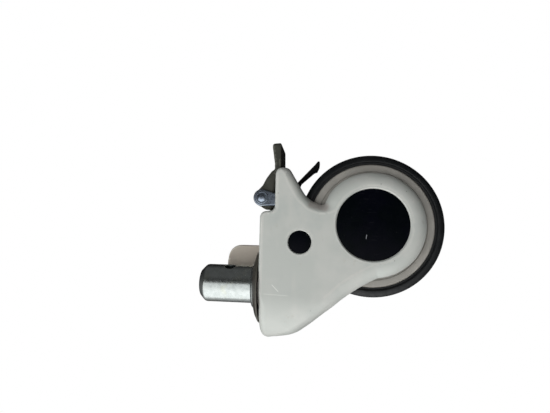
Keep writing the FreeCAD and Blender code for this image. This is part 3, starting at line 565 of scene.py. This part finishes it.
def build_pedal():
    """The pedal: two soft-edged arms, a swept web and a wide blade with grip ribs on top."""
    x0, z0, top = PIVOT_X, PIVOT_Z, TOP
    rib_pitch, rib_height = 2.5, 0.28
    arms = bow((x0 - 6.2, z0), (x0 - 4.2, z0 + 4.6), (x0 + 0.8, z0 + 6.3))
    arms += rounded((66.0, top + 6.5, 2.5), (70.4, top + 3.0, 3.0), (73.4, top + 0.2, 4.0),
                    (78.6, top - 2.4, 6.0), (83.9, top - 6.2, 3.0), (85.9, top - 9.2, 0),
                    (88.0, top - 9.0, 0), (88.0, top - 13.2, 0), (84.0, top - 13.2, 4.0),
                    (77.0, top - 9.9, 6.0), (64.0, top - 8.6, 8.0), (57.8, top - 9.4, 1.5),
                    (55.4, top - 6.6, 1.2), (57.6, top - 1.0, 2.0))[3:]
    side = rounded((84.0, top - 9.5, 0), (101.4, top - 6.9, 3.0), (104.2, top - 7.0, 1.8),
                   (105.2, top - 13.1, 1.2), (84.0, top - 13.6, 0))
    plan = rounded((79, -17.5, 0), (105.2, -17.5, 3.4), (105.2, 17.5, 3.4), (79, 17.5, 0))

    def ribs(x, y, z):
        """The depth of the grooves between the ribs, on the blade's top only."""
        above = z - (top - 9.2 + 0.150 * (x - 86))
        outside = np.maximum(np.abs(x - 95.5) - 7.5, np.abs(y) - 14.5)
        area = blend_between(-outside, -0.2, 0.6) * blend_between(above, -1.5, -0.5)
        return rib_height * area * (0.5 - 0.5 * np.cos((x - 88) * 2 * math.pi / rib_pitch))

    def pedal(x, y, z):
        """The arms' block joined to the blade, slotted between the arms and bored for the rivet."""
        block = both(outline_distance(arms, x, z), np.abs(y) - 15.7, 2.2)
        blade = both(outline_distance(side, x, z), outline_distance(plan, x, y), 0.9) + ribs(x, y, z)
        form = minus(either(block, blade, 2.0), np.maximum(np.abs(y) - 9.2, x - 79), 0.7)
        return np.maximum(form, 3.05 - np.hypot(x - x0, z - z0))

    piece = field_piece("pedal_moulding", pedal, corner_mm("pedal", 0), corner_mm("pedal", 1), 0.45)
    install(piece, "pedal", "pedal_plastic", "pedal")


def build_bracket():
    """The folded steel bracket: two cheeks with eased edges and a bridge with bend radii."""
    x0, z0, top, ear = PIVOT_X, PIVOT_Z, TOP, 6.2
    outline = arc((x0, z0), ear, 180, 0, 24)
    outline += rounded((x0 + ear, top - 19.0, 3.0), (60.0, top - 25.0, 3.0), (44.0, top - 26.0, 3.0),
                       (38.5, top - 33.5, 3.0), (28.0, top - 33.5, 2.0), (26.5, top - 29.0, 2.0),
                       (26.5, top - 6.0, 0.5), (50.0, top - 6.0, 2.0), (52.0, top - 13.0, 1.5),
                       (x0 - ear, top - 13.0, 2.0))

    def bracket(x, y, z):
        """Both cheeks filleted to the bridge, less the three pin holes."""
        across = np.abs(y)
        sides = both(outline_distance(outline, x, z), np.abs(across - 17.3) - 1.0, 0.8)
        bridge = both(np.abs(z - top + 7.0) - 1.0, np.abs(x - 37.5) - 10.5, 0.4)
        form = either(sides, np.maximum(bridge, across - 17.0), 1.6)
        for hole_x, hole_z, radius in ((x0, z0, PIVOT_HOLE_R), (SMALL_X, SMALL_Z, SCREW_HOLE_R),
                                       (LEVER_X, LEVER_Z, SCREW_HOLE_R)):
            form = np.maximum(form, radius - np.hypot(x - hole_x, z - hole_z))
        return form

    low, high = corner_mm("pedal_bracket", 0), corner_mm("pedal_bracket", 1)
    install(field_piece("bracket_steel", bracket, low, high, 0.45), "housing", "zinc_steel", "pedal_bracket")


def build_rivet():
    """The pedal's rivet: a flanged dome at each end of a plain shank."""
    seat = BRACKET_OUT
    half = [(0, seat + 1.8, 0), (1.7, seat + 1.75, 1.5), (3.2, seat + 0.9, 0.2), (3.4, seat + 0.45, 0.1),
            (3.6, seat + 0.8, 0.1), (4.6, seat + 0.8, 0.35), (4.6, seat, 0), (3.0, seat, 0)]
    profile = rounded(*half, *mirrored(half))
    rivet = lathe("pivot_rivet", profile, sideways(PIVOT_X, PIVOT_Z), 128)
    install(rivet, "housing", "zinc_steel", "pedal_rivet")


def build_shoe():
    """The rubber brake shoe: a narrow tongue off the lever that thickens to a blunt toe."""
    top = TOP
    outline = rounded((73.8, top - 20.5, 0), (77.3, top - 25.0, 8.0), (90.9, top - 37.8, 0),
                      (93.9, top - 40.2, 1.0), (92.9, top - 41.3, 0.8), (89.6, top - 41.0, 1.5),
                      (86.2, top - 39.4, 0.9), (85.4, top - 37.2, 1.2), (76.8, top - 27.4, 3.0),
                      (70.5, top - 25.0, 0))

    def shoe(x, y, z):
        """The outline, 10 mm wide, with soft edges."""
        return both(outline_distance(outline, x, z), np.abs(y) - 5, 0.7)

    low, high = corner_mm("brake_shoe", 0), corner_mm("brake_shoe", 1)
    install(field_piece("shoe_tongue", shoe, low, high, 0.35), "brake_lever", "shoe_rubber", "brake_shoe")


# ------------------------------------------------------------------ materials

class Surface:
    """A procedural material under construction: object-space patterns feeding one principled shader."""

    def __init__(self, name, metallic=0.0):
        self.material = bpy.data.materials.new(name)
        self.material.use_nodes = True
        self.nodes = self.material.node_tree.nodes
        self.links = self.material.node_tree.links
        self.shader = self.nodes["Principled BSDF"]
        self.shader.inputs["Metallic"].default_value = metallic
        self.place = self.nodes.new("ShaderNodeTexCoord").outputs["Object"]
        self.normal = None
        self.colour = None

    def stretched(self, scale):
        """Object coordinates scaled differently along each axis."""
        node = self.nodes.new("ShaderNodeMapping")
        node.inputs["Scale"].default_value = scale
        self.links.new(self.place, node.inputs["Vector"])
        return node.outputs["Vector"]

    def noise(self, grain_mm, detail, roughness=0.55, place=None):
        """Soft noise whose features are about grain_mm across."""
        node = self.nodes.new("ShaderNodeTexNoise")
        node.inputs["Scale"].default_value = 1000.0 / grain_mm
        node.inputs["Detail"].default_value = detail
        node.inputs["Roughness"].default_value = roughness
        self.links.new(place or self.place, node.inputs["Vector"])
        return node.outputs["Fac"]

    def cells(self, grain_mm):
        """A cell pattern about grain_mm across."""
        node = self.nodes.new("ShaderNodeTexVoronoi")
        node.inputs["Scale"].default_value = 1000.0 / grain_mm
        self.links.new(self.place, node.inputs["Vector"])
        return node.outputs["Distance"]

    def between(self, value, low, high, to_low=0.0, to_high=1.0):
        """A value mapped smoothly from one range to another, and held at its ends."""
        node = self.nodes.new("ShaderNodeMapRange")
        node.interpolation_type = "SMOOTHSTEP"
        for key, number in (("From Min", low), ("From Max", high), ("To Min", to_low), ("To Max", to_high)):
            node.inputs[key].default_value = number
        self.links.new(value, node.inputs["Value"])
        return node.outputs["Result"]

    def maths(self, operation, a, b):
        """One sum on two sockets or numbers."""
        node = self.nodes.new("ShaderNodeMath")
        node.operation = operation
        for index, value in enumerate((a, b)):
            if isinstance(value, (int, float)):
                node.inputs[index].default_value = value
            else:
                self.links.new(value, node.inputs[index])
        return node.outputs[0]

    def times(self, a, b):
        """The product of two sockets or numbers."""
        return self.maths("MULTIPLY", a, b)

    def tint(self, colour, amount=None):
        """Lay a colour over what is there, by an amount socket."""
        if self.colour is None:
            rgb = self.nodes.new("ShaderNodeRGB")
            rgb.outputs[0].default_value = (*colour, 1)
            self.colour = rgb.outputs[0]
            return
        mix = self.nodes.new("ShaderNodeMix")
        mix.data_type = "RGBA"
        mix.inputs[7].default_value = (*colour, 1)
        self.links.new(self.colour, mix.inputs[6])
        self.links.new(amount, mix.inputs[0])
        self.colour = mix.outputs[2]

    def bump(self, height, depth_mm, strength=1.0):
        """Raise the surface by a pattern, depth_mm from lowest to highest."""
        node = self.nodes.new("ShaderNodeBump")
        node.inputs["Distance"].default_value = depth_mm * MM
        node.inputs["Strength"].default_value = strength
        self.links.new(height, node.inputs["Height"])
        if self.normal is not None:
            self.links.new(self.normal, node.inputs["Normal"])
        self.normal = node.outputs["Normal"]

    def edges(self, low=0.52, high=0.60):
        """1 on convex edges, 0 elsewhere."""
        geometry = self.nodes.new("ShaderNodeNewGeometry")
        return self.between(geometry.outputs["Pointiness"], low, high)

    def hollows(self, reach_mm):
        """1 in corners and gaps, 0 in the open."""
        node = self.nodes.new("ShaderNodeAmbientOcclusion")
        node.inputs["Distance"].default_value = reach_mm * MM
        node.samples = 8
        return self.between(node.outputs["AO"], 0.85, 0.35)

    def mark(self, x, z, angle, length, width):
        """1 on one short straight line on the near face, given by its middle, angle and size in mm."""
        node = self.nodes.new("ShaderNodeMapping")
        node.vector_type = "TEXTURE"
        node.inputs["Location"].default_value = (x * MM, 0.0, z * MM)
        node.inputs["Rotation"].default_value = (0.0, math.radians(angle), 0.0)
        self.links.new(self.place, node.inputs["Vector"])
        split = self.nodes.new("ShaderNodeSeparateXYZ")
        self.links.new(node.outputs["Vector"], split.inputs[0])
        along = self.maths("ABSOLUTE", split.outputs["X"], 0.0)
        over = self.maths("ABSOLUTE", split.outputs["Z"], 0.0)
        inside = self.times(self.between(along, 0.5 * length * MM, 0.35 * length * MM),
                            self.between(over, 0.6 * width * MM, 0.2 * width * MM))
        near = self.between(split.outputs["Y"], 0.0, -0.001)
        return self.times(inside, near)

    def scratches(self, direction, width_mm, length_mm, share=0.06):
        """Sparse thin lines across one plane: stretched noise cut to its highest share."""
        turn = self.nodes.new("ShaderNodeMapping")
        turn.inputs["Rotation"].default_value = direction
        turn.inputs["Scale"].default_value = (1.0, 1.0, width_mm / length_mm)
        self.links.new(self.place, turn.inputs["Vector"])
        lines = self.between(self.noise(width_mm, 2.0, 0.4, turn.outputs["Vector"]), 0.74 - share, 0.80)
        patches = self.between(self.noise(length_mm * 1.7, 2.0), 0.5, 0.62)
        return self.times(lines, patches)

    def done(self, roughness, coat=0.0, specular=0.5):
        """Connect the colour, normal and roughness sockets, and return the material."""
        self.links.new(roughness, self.shader.inputs["Roughness"])
        self.links.new(self.colour, self.shader.inputs["Base Color"])
        self.links.new(self.normal, self.shader.inputs["Normal"])
        self.shader.inputs["Coat Weight"].default_value = coat
        self.shader.inputs["Coat Roughness"].default_value = 0.12
        self.shader.inputs["Specular IOR Level"].default_value = specular
        return self.material


def fork_plastic():
    """Satin light grey-beige moulding with orange peel, faint flow marks, scratches and specks, with painted
    shade in its hollows and painted highlight on its edges.
    """
    skin = Surface("fork_plastic")
    skin.tint((0.545, 0.572, 0.538))
    skin.tint((0.600, 0.615, 0.580), skin.between(skin.noise(34, 3), 0.42, 0.62))
    skin.tint((0.480, 0.520, 0.500), skin.between(skin.noise(21, 4), 0.50, 0.75, 0, 0.5))
    flow = skin.noise(9, 3, 0.5, skin.stretched((0.25, 1.0, 1.0)))
    skin.tint((0.620, 0.625, 0.585), skin.between(flow, 0.55, 0.75, 0, 0.35))
    # Painted shade: a mottled brown darkening in the hollows and creases, by ambient occlusion.
    hollow_shade = skin.times(skin.hollows(5.0), skin.between(skin.noise(6, 5, 0.7), 0.3, 0.7, 0.2, 1.0))
    skin.tint((0.155, 0.135, 0.105), skin.times(hollow_shade, 0.75))
    specks = skin.times(skin.between(skin.cells(5.2), 0.085, 0.045),
                        skin.between(skin.noise(26, 2), 0.52, 0.62))
    skin.tint((0.085, 0.070, 0.050), skin.times(specks, 0.85))
    smear = skin.times(skin.between(skin.noise(13, 5, 0.7), 0.60, 0.74), 0.25)
    skin.tint((0.36, 0.31, 0.22), smear)
    # A darker pinkish-brown band across the bottom of the notch: partly a warm stain, partly painted shade of
    # the notch's fillet.
    skin.tint((0.46, 0.38, 0.35), skin.times(skin.mark(AXLE_X + 12.5, AXLE_Z + 37.0, 105, 16.0, 7.0), 0.45))
    scratch = skin.scratches((0.4, 0.9, 0.0), 0.35, 26.0)
    skin.tint((0.36, 0.34, 0.30), skin.times(scratch, 0.6))
    # Painted highlight: paler along the convex rolled edges.
    skin.tint((0.70, 0.69, 0.65), skin.times(skin.edges(), 0.35))
    skin.tint((0.85, 0.86, 0.82), skin.mark(0.4, -19.1, 135, 7.5, 0.5))
    skin.tint((0.70, 0.72, 0.68), skin.times(skin.mark(-4.1, -19.5, 92, 20.0, 0.9), 0.6))
    skin.bump(skin.noise(1.3, 2.0), 0.035, 0.55)
    skin.bump(skin.noise(0.28, 1.0), 0.010, 0.5)
    skin.bump(scratch, -0.05)
    rough = skin.between(skin.noise(11, 5, 0.6), 0.3, 0.7, 0.30, 0.46)
    return skin.done(rough, coat=0.12)


def rim_plastic():
    """Matte grey-beige rim with patches of dark dirt, and painted shade in its hollows towards its lip."""
    skin = Surface("rim_plastic")
    skin.tint((0.34, 0.33, 0.30))
    skin.tint((0.40, 0.385, 0.35), skin.between(skin.noise(14, 4), 0.4, 0.65))
    # Painted shade: darker brown in the hollows, at the lip's groove and the web's corners.
    skin.tint((0.21, 0.195, 0.16), skin.times(skin.hollows(3.0), 0.6))
    skin.tint((0.22, 0.20, 0.16), skin.times(skin.between(skin.noise(4, 6, 0.7), 0.58, 0.72), 0.4))
    skin.bump(skin.noise(0.8, 3.0), 0.03, 0.6)
    return skin.done(skin.between(skin.noise(7, 4), 0.3, 0.7, 0.42, 0.6))


def tyre_rubber():
    """Charcoal tread rubber: fine pitting, scuffed patches and a little grey dust."""
    skin = Surface("tyre_rubber")
    skin.tint((0.0030, 0.0042, 0.0052))
    skin.tint((0.0065, 0.0080, 0.0092), skin.between(skin.noise(7, 5, 0.6), 0.42, 0.70))
    dust = skin.times(skin.between(skin.noise(2.2, 6, 0.75), 0.57, 0.74), 0.18)
    skin.tint((0.10, 0.095, 0.085), dust)
    # Painted sheen: paler on the convex shoulders and lip.
    skin.tint((0.03, 0.03, 0.03), skin.times(skin.edges(0.51, 0.56), 0.3))
    skin.bump(skin.noise(0.5, 4.0, 0.65), 0.05, 0.6)
    skin.bump(skin.cells(1.1), 0.03, 0.35)
    skin.bump(skin.scratches((1.2, 0.2, 0.4), 0.3, 8.0, 0.10), -0.05, 0.7)
    return skin.done(skin.between(skin.noise(3, 5, 0.6), 0.3, 0.7, 0.38, 0.58), specular=0.45)


def cap_plastic():
    """Gloss blue-black plug with hairline scratches and a nick or two."""
    skin = Surface("cap_plastic")
    skin.tint((0.0008, 0.0018, 0.0028))
    skin.tint((0.0014, 0.0018, 0.0042), skin.between(skin.noise(16, 3), 0.4, 0.65))
    dust = skin.times(skin.between(skin.cells(2.6), 0.10, 0.05),
                      skin.between(skin.noise(9, 3), 0.5, 0.65))
    skin.tint((0.20, 0.19, 0.17), skin.times(dust, 0.25))
    scratch = skin.scratches((0.2, 0.5, 0.0), 0.22, 9.0)
    skin.tint((0.06, 0.06, 0.065), skin.times(scratch, 0.35))
    skin.tint((0.30, 0.31, 0.33), skin.mark(AXLE_X - 8.4, AXLE_Z + 4.4, 8, 3.4, 0.5))
    skin.bump(skin.noise(2.4, 2.0), 0.02, 0.4)
    skin.bump(scratch, -0.03, 0.6)
    return skin.done(skin.between(skin.noise(6, 5, 0.6), 0.3, 0.7, 0.20, 0.32), specular=0.06)


def plated_steel(name, base, second, rough, spangle, turned_lines):
    """Zinc plate: mottled spangle, faint machining lines, dull handling marks."""
    skin = Surface(name, metallic=1.0)
    skin.tint(base)
    skin.tint(second, skin.between(skin.noise(spangle, 4, 0.6), 0.38, 0.66, 0, 0.8))
    skin.tint([0.7 * c for c in base], skin.between(skin.noise(spangle * 0.5, 5, 0.7), 0.58, 0.74, 0, 0.4))
    skin.tint((0.62, 0.63, 0.48), skin.between(skin.noise(spangle * 3, 3), 0.55, 0.7, 0, 0.3))
    # Painted shade: near-black in the hollows.
    skin.tint((0.05, 0.048, 0.045), skin.times(skin.hollows(1.6), 0.55))
    skin.bump(skin.noise(3.5, 3.0, 0.6), 0.015, 0.4)
    direction = (0.03, 0.03, 1.0) if turned_lines else (1.0, 0.05, 0.06)
    skin.bump(skin.noise(0.35, 2.0, 0.5, skin.stretched(direction)), 0.004, 0.4)
    return skin.done(skin.between(skin.noise(spangle * 0.8, 4, 0.6), 0.3, 0.7, rough, rough + 0.10))


def soft_plastic(name, base, light, rough, grain=0.7, specular=0.5):
    """A moulded plastic with a fine texture, with painted highlight on its edges and painted shade in its
    hollows.
    """
    skin = Surface(name)
    skin.tint(base)
    skin.tint(light, skin.between(skin.noise(8, 4), 0.42, 0.68, 0, 0.7))
    # Painted highlight: paler on convex edges.
    skin.tint([min(1.0, 1.9 * c + 0.002) for c in light], skin.times(skin.edges(0.51, 0.57), 0.6))
    # Painted shade: a darker copy of the base colour in the hollows.
    skin.tint([0.4 * c for c in base], skin.times(skin.hollows(2.5), 0.6))
    skin.bump(skin.noise(grain, 3.0, 0.6), 0.04, 0.55)
    skin.bump(skin.scratches((0.9, 0.3, 0.2), 0.3, 7.0, 0.08), -0.03, 0.5)
    return skin.done(skin.between(skin.noise(3, 4), 0.3, 0.7, rough, rough + 0.14), specular=specular)


def ground_steel():
    """Bright ground steel of bearing rings and balls."""
    skin = Surface("ground_steel", metallic=1.0)
    skin.tint((0.62, 0.62, 0.63))
    skin.tint((0.45, 0.45, 0.46), skin.between(skin.noise(2, 4), 0.4, 0.7))
    skin.bump(skin.noise(0.2, 2.0, 0.5, skin.stretched((1.0, 0.04, 1.0))), 0.004, 0.5)
    return skin.done(skin.between(skin.noise(1.5, 3), 0.3, 0.7, 0.12, 0.26))


def build_materials():
    """Every finish, by the name of the record's material slot."""
    return {
        "housing_plastic": fork_plastic(),
        "rim_plastic": rim_plastic(),
        "tyre_rubber": tyre_rubber(),
        "cap_plastic": cap_plastic(),
        "stem_steel": plated_steel("stem_zinc", (0.57, 0.61, 0.60), (0.47, 0.51, 0.50), 0.19, 3.4, True),
        "zinc_steel": plated_steel("bracket_zinc", (0.36, 0.42, 0.50), (0.30, 0.35, 0.43), 0.24, 4.0, False),
        "bearing_steel": ground_steel(),
        "cover_plastic": soft_plastic("cover_plastic", (0.044, 0.042, 0.033), (0.072, 0.069, 0.057), 0.42),
        "tab_plastic": soft_plastic("tab_plastic", (0.57, 0.515, 0.445), (0.62, 0.565, 0.49), 0.55, 0.9, 0.3),
        "pedal_plastic": soft_plastic("pedal_plastic", (0.050, 0.051, 0.042), (0.070, 0.071, 0.058), 0.36,
                                      specular=0.3),
        "cage_plastic": soft_plastic("cage_plastic", (0.40, 0.31, 0.16), (0.48, 0.38, 0.2), 0.45),
        "shoe_rubber": soft_plastic("shoe_rubber", (0.0012, 0.0012, 0.0014), (0.0024, 0.0024, 0.0026), 0.52,
                                    grain=0.5, specular=0.12),
        "black_steel": soft_plastic("black_oxide_steel", (0.020, 0.020, 0.021), (0.034, 0.034, 0.035), 0.32,
                                    grain=0.4),
    }


def dress(piece, material):
    """Give a piece one material, whatever slots it came with."""
    if piece.data.materials:
        for index in range(len(piece.data.materials)):
            piece.data.materials[index] = material
    else:
        piece.data.materials.append(material)


def dress_frame(materials):
    """Finish every CAD node by its own slot in the record."""
    for entry in frame["record"]["subparts"]:
        dress(frame["nodes"][entry["node"]], materials[entry["material_slot"]])


# ------------------------------------------------------------------ floor, light and camera

def build_stage():
    """A pale floor behind the object, seen only from its front, so it hides nothing from other sides."""
    mesh = bpy.data.meshes.new("floor")
    reach, y = 3.0, 0.16
    mesh.from_pydata([(-reach, y, -reach), (reach, y, -reach), (reach, y, reach), (-reach, y, reach)], [],
                     [(0, 1, 2, 3)])
    floor = bpy.data.objects.new("floor", mesh)
    bpy.context.scene.collection.objects.link(floor)
    material = bpy.data.materials.new("floor_paper")
    material.use_nodes = True
    nodes, links = material.node_tree.nodes, material.node_tree.links
    nodes.clear()
    output = nodes.new("ShaderNodeOutputMaterial")
    facing = nodes.new("ShaderNodeNewGeometry")
    path = nodes.new("ShaderNodeLightPath")
    paper = nodes.new("ShaderNodeEmission")
    paper.inputs["Strength"].default_value = 1.0
    clear = nodes.new("ShaderNodeBsdfTransparent")
    mix = nodes.new("ShaderNodeMixShader")
    hide = nodes.new("ShaderNodeMath")
    hide.operation = "MAXIMUM"
    other = nodes.new("ShaderNodeMath")
    other.operation = "SUBTRACT"
    other.inputs[0].default_value = 1.0
    links.new(path.outputs["Is Camera Ray"], other.inputs[1])
    links.new(facing.outputs["Backfacing"], hide.inputs[0])
    links.new(other.outputs[0], hide.inputs[1])
    links.new(hide.outputs[0], mix.inputs[0])
    links.new(paper.outputs[0], mix.inputs[1])
    links.new(clear.outputs[0], mix.inputs[2])
    links.new(mix.outputs[0], output.inputs[0])
    mesh.materials.append(material)


def build_world():
    """White to the camera; as light, brightest from the fork's front and dark behind and at both ends."""
    world = bpy.data.worlds.new("studio")
    bpy.context.scene.world = world
    world.use_nodes = True
    nodes, links = world.node_tree.nodes, world.node_tree.links
    nodes.clear()
    split = nodes.new("ShaderNodeSeparateXYZ")
    links.new(nodes.new("ShaderNodeTexCoord").outputs["Generated"], split.inputs[0])

    def ramp(axis, start, end, at_start, at_end):
        """A smooth change with one component of the direction."""
        fit = nodes.new("ShaderNodeMapRange")
        fit.interpolation_type = "SMOOTHSTEP"
        for key, number in (("From Min", start), ("From Max", end), ("To Min", at_start), ("To Max", at_end)):
            fit.inputs[key].default_value = number
        links.new(split.outputs[axis], fit.inputs["Value"])
        return fit.outputs[0]

    def product(first, second):
        """Two sockets multiplied."""
        node = nodes.new("ShaderNodeMath")
        node.operation = "MULTIPLY"
        links.new(first, node.inputs[0])
        links.new(second, node.inputs[1])
        return node.outputs[0]

    level = product(ramp("X", -0.9, 0.4, 0.85, 0.12), ramp("Y", -0.97, -0.70, 0.30, 1.0))
    level = product(level, ramp("Z", -0.75, -0.1, 0.30, 1.0))
    level = product(level, ramp("Z", 0.3, 0.9, 1.0, 0.50))
    level = product(level, ramp("Y", 0.1, 0.9, 1.0, 0.10))
    light = nodes.new("ShaderNodeBackground")
    links.new(level, light.inputs["Strength"])
    seen = nodes.new("ShaderNodeBackground")
    seen.inputs["Color"].default_value = (1, 1, 1, 1)
    mix = nodes.new("ShaderNodeMixShader")
    links.new(nodes.new("ShaderNodeLightPath").outputs["Is Camera Ray"], mix.inputs[0])
    links.new(light.outputs[0], mix.inputs[1])
    links.new(seen.outputs[0], mix.inputs[2])
    links.new(mix.outputs[0], nodes.new("ShaderNodeOutputWorld").inputs[0])


def add_area(name, place, width, power, glossy=True):
    """A soft square light aimed at the fork's middle; a fill leaves no reflection."""
    data = bpy.data.lights.new(name, "AREA")
    data.shape = "SQUARE"
    data.size = width
    data.energy = power
    lamp = bpy.data.objects.new(name, data)
    lamp.location = place
    lamp.rotation_euler = (Vector((0.02, 0, -0.05)) - Vector(place)).to_track_quat("-Z", "Y").to_euler()
    lamp.visible_glossy = glossy
    bpy.context.scene.collection.objects.link(lamp)


def build_lights():
    """A soft key ahead of the fork on the near side, and a weak fill on the near and on the far side."""
    add_area("key", (-0.53, -0.50, 0.12), 1.7, 8.7)
    add_area("front_fill", (0.05, -0.65, 0.40), 0.6, 1.9, glossy=False)
    add_area("back_fill", (0.10, 0.75, 0.10), 0.8, 2.5, glossy=False)


def build_camera():
    """A 26 mm lens about 0.3 m off the near cheek, rolled so that the stem points left."""
    data = bpy.data.cameras.new("camera")
    data.sensor_width = 36.0
    data.lens = 26.18
    data.clip_start = 0.01
    camera = bpy.data.objects.new("camera", data)
    right = Vector((0.0257, 0.1180, -0.9927))
    forward = Vector((0.0877, 0.9889, 0.1198)).normalized()
    right = (right - right.dot(forward) * forward).normalized()
    up = right.cross(forward)
    turn = Matrix((right, up, -forward)).transposed().to_4x4()
    camera.matrix_world = Matrix.Translation(Vector((0.0323, -0.3029, -0.0513))) @ turn
    bpy.context.scene.collection.objects.link(camera)
    bpy.context.scene.camera = camera


materials = build_materials()
dress_frame(materials)
build_fork()
build_bezels()
build_tyre()
build_rim()
build_caps()
build_stem()
build_tab()
build_cover()
build_pedal()
build_bracket()
build_rivet()
build_shoe()
build_stage()
build_world()
build_lights()
build_camera()
bpy.context.scene.view_settings.view_transform = "Standard"
